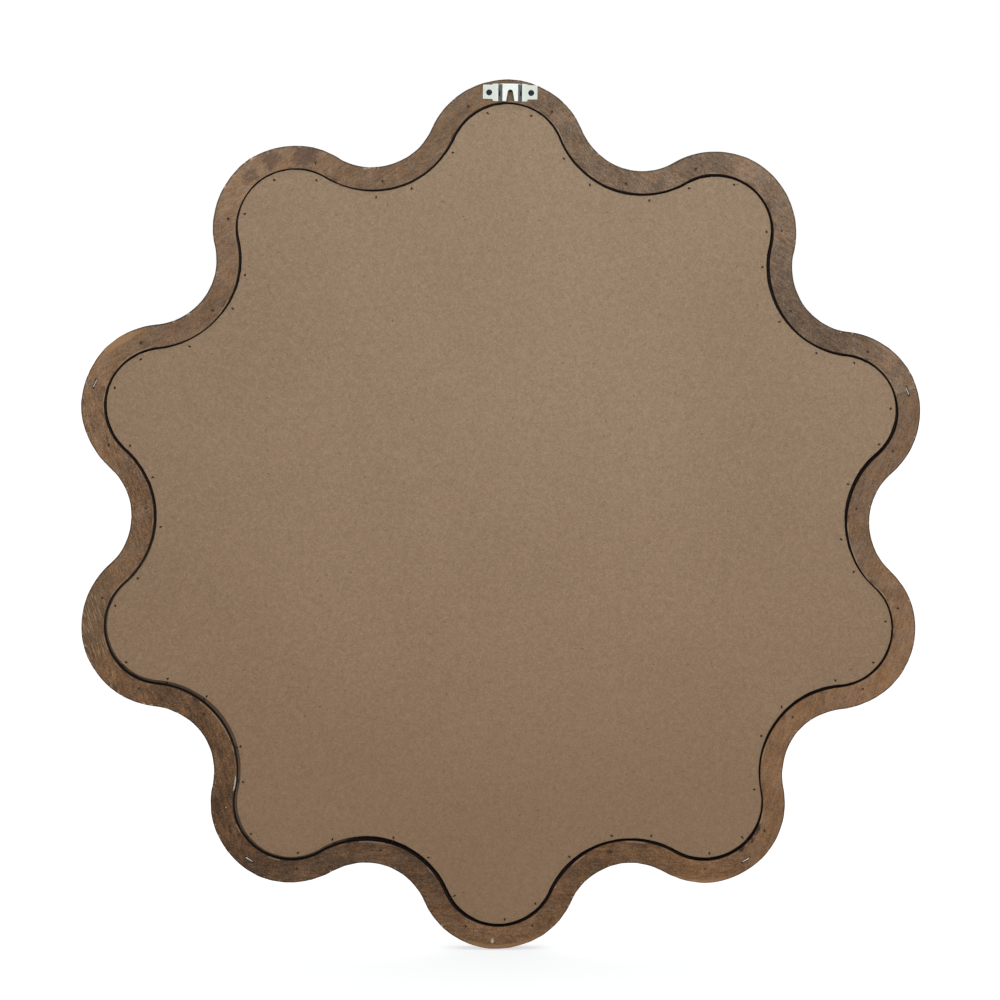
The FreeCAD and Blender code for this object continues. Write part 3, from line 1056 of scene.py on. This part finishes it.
def stapleShape():        # crown along X with its top at y = 0, legs towards -Y
    bm = bmesh.new()
    reach = (staple["crown"] - staple["wire"]) / 2
    under = staple["wire"] / 2
    bend = staple["bend"]
    straight = staple["leg"] - under - bend
    bmesh.ops.create_circle(
        bm, segments=staple["facets"], radius=under,
        matrix=Matrix.Translation((-reach, -staple["leg"], 0)) @ Matrix.Rotation(math.pi / 2, 4, "X"))
    rim = drawOut(bm, bm.edges[:], (0, straight, 0))
    for corner, onward in ((-1, (2 * (reach - bend), 0, 0)), (1, (0, -straight, 0))):
        hub = (corner * (reach - bend), -under - bend, 0)
        geom = [vert for edge in rim for vert in edge.verts]
        turn = bmesh.ops.spin(
            bm, geom=list(dict.fromkeys(geom)) + rim, cent=hub, axis=(0, 0, -1), angle=math.pi / 2,
            steps=staple["bendSteps"], use_merge=False)["geom_last"]
        rim = drawOut(bm, edgesIn(turn), onward)
    bmesh.ops.holes_fill(bm, edges=[edge for edge in bm.edges if edge.is_boundary])
    bmesh.ops.recalc_face_normals(bm, faces=bm.faces[:])
    mesh = bpy.data.meshes.new("stapleShape")
    bm.to_mesh(mesh)
    bm.free()
    return mesh


def makeStaples():
    shape = stapleShape()
    bm = bmesh.new()
    for corners, tilt in zip(solidsOf("joint_staples"), staple["tilts"]):
        top = middle(corners[:4])
        before = len(bm.verts)
        bm.from_mesh(shape)
        bm.verts.ensure_lookup_table()
        place = standing(top - Vector((0, staple["sunk"], 0)), outlinePlace(top)[2])
        lean = math.copysign(math.radians(staple["lean"]), place.col[0].z)        # upper end proud
        place = place @ Matrix.Rotation(math.radians(tilt), 4, "Y") @ Matrix.Rotation(lean, 4, "Z")
        bmesh.ops.transform(bm, matrix=place, verts=bm.verts[before:])
    bmesh.ops.recalc_face_normals(bm, faces=bm.faces[:])        # standing() mirrors
    bpy.data.meshes.remove(shape)
    addPiece("joint_staple_wires", bm, [brightWire()], "bright_staples", "joint_staples")


def bridgeHeight(x):        # height of the bent sheet above the wood, its corners eased by an average
    foot = hanger["bridge"] / 2 + hanger["ramp"]
    rise = plateHigh.y - plateLow.y - hanger["sheet"]
    ease = hanger["easing"]
    stations = [abs(x) + hanger["bend"] * (step - ease) / ease for step in range(2 * ease + 1)]
    heights = [rise * min(max((foot - station) / hanger["ramp"], 0), 1) for station in stations]
    return sum(heights) / len(heights)


def makeHanger():
    bm = bmesh.new()
    radius, mouth = hanger["slotTop"], hanger["slotMouth"] / 2
    low, high, end = plateLow.z, plateHigh.z, plateHigh.x
    step = hanger["bridge"] / 2 + hanger["ramp"] + hanger["shoulder"]
    slant = step + hanger["earSlant"]
    tangent = math.atan2(low, mouth) + math.acos(radius / math.hypot(mouth, low))
    half = [
        (mouth, low), (step, low), (slant, low + hanger["earBottom"]), (end, low + hanger["earBottom"]),
        (end, high - hanger["earTop"]), (slant, high - hanger["earTop"]), (step, high)]
    slotStart = bm.verts.new(around(Vector(), radius, tangent))
    arc = bmesh.ops.spin(
        bm, geom=[slotStart], cent=(0, 0, 0), axis=turnAxis, angle=math.pi - 2 * tangent,
        steps=hanger["slotSteps"], use_merge=False)["geom_last"]
    chain = [slotStart]
    chain += [bm.verts.new((x, 0, z)) for x, z in half + [(-x, z) for x, z in reversed(half)]]
    chain += vertsIn(arc)
    for index in range(1, len(chain)):
        bm.edges.new((chain[index - 1], chain[index]))
    corners = [vert for vert in chain if abs(abs(vert.co.x) - end) < making["weld"]]
    for corner in corners:
        bmesh.ops.bevel(
            bm, geom=[corner], offset=hanger["earRound"], segments=4, profile=0.5, affect="VERTICES",
            material=-1)
    bmesh.ops.contextual_create(bm, geom=bm.edges[:])
    crest = hanger["bridge"] / 2
    for bendAt in (-crest - hanger["ramp"], -crest, crest, crest + hanger["ramp"]):
        for share in hanger["bendCuts"]:
            bmesh.ops.bisect_plane(
                bm, geom=bm.verts[:] + bm.edges[:] + bm.faces[:], dist=hanger["cutWeld"],
                plane_co=(bendAt + share * hanger["bend"], 0, 0), plane_no=(1, 0, 0))
    for vert in bm.verts:
        vert.co.y = plateLow.y + bridgeHeight(vert.co.x)
    bmesh.ops.recalc_face_normals(bm, faces=bm.faces[:])
    if sum(face.normal.y * face.calc_area() for face in bm.faces) > 0:
        bmesh.ops.reverse_faces(bm, faces=bm.faces[:])
    bmesh.ops.solidify(bm, geom=bm.faces[:], thickness=hanger["sheet"])
    bmesh.ops.recalc_face_normals(bm, faces=bm.faces[:])
    for inSlot, size, steps in ((True, hanger["slotRound"], 3), (False, hanger["arris"], 1)):
        sharp = [edge for edge in bm.edges if edge.calc_face_angle(0.0) > hanger["sharp"]]
        spots = [middle([vert.co for vert in edge.verts]) for edge in sharp]
        near = [abs(spot.x) < mouth and low < spot.z - hanger["slotMargin"] < radius for spot in spots]
        bmesh.ops.bevel(
            bm, geom=[edge for edge, isNear in zip(sharp, near) if isNear or not inSlot], offset=size,
            segments=steps, profile=0.5, affect="EDGES", material=-1, clamp_overlap=True)
    holes = bmesh.new()
    holeRadius = screw["shank"] * screw["clearance"]
    for side in (-1, 1):
        place = Matrix.Translation((side * (end - screw["setback"]), plateLow.y, (low + high) / 2))
        bmesh.ops.create_cone(
            holes, cap_ends=True, segments=20, radius1=holeRadius, radius2=holeRadius,
            depth=4 * hanger["sheet"], matrix=place @ Matrix.Rotation(math.pi / 2, 4, "X"))
    addPiece("hanger_bridge", carved(bm, holes), [zincFinish()], "zinc_plate", "hanger_plate")


def makeScrews():
    bm = bmesh.new()
    cutters = bmesh.new()
    seat = plateLow.y + hanger["sheet"]
    top = seat + screw["crown"]
    profile = [(0, top)] + [(screw["head"] * share, top - drop) for share, drop in screw["dome"]]
    profile += [(screw["head"], seat + screw["rim"]), (screw["head"], seat), (screw["shank"], seat)]
    profile += [
        (screw["shank"], plateLow.y - screw["depth"] * screw["pointAt"]), (0, plateLow.y - screw["depth"])]
    for side in (-1, 1):
        place = Vector((side * (plateHigh.x - screw["setback"]), 0, (plateLow.z + plateHigh.z) / 2))
        chain = [bm.verts.new(place + Vector((x, y, 0))) for x, y in profile]
        edges = [bm.edges.new(pair) for pair in zip(chain, chain[1:])]
        bmesh.ops.spin(
            bm, geom=chain + edges, cent=place, axis=turnAxis, angle=2 * math.pi, steps=screw["facets"],
            use_merge=True)
        for turn in (screw["crossTurn"], screw["crossTurn"] + math.pi / 2):
            slot = Matrix.Translation(place + Vector((0, top, 0))) @ Matrix.Rotation(turn, 4, "Y")
            size = (screw["crossSpan"], 2 * screw["crossDepth"], screw["crossWidth"], 1)
            bmesh.ops.create_cube(cutters, size=1, matrix=slot @ Matrix.Diagonal(size))
    bmesh.ops.remove_doubles(bm, verts=bm.verts[:], dist=screw["weld"])
    addPiece("hanger_screw_heads", carved(bm, cutters), [blackFinish()], "black_screws", "hanger_screws")


bradWire = darkWire()
makeBrads("board_brad_wires", "board_brads")
makeBrads("ring_brad_wires", "ring_brads")
makeStaples()
makeHanger()
makeScrews()
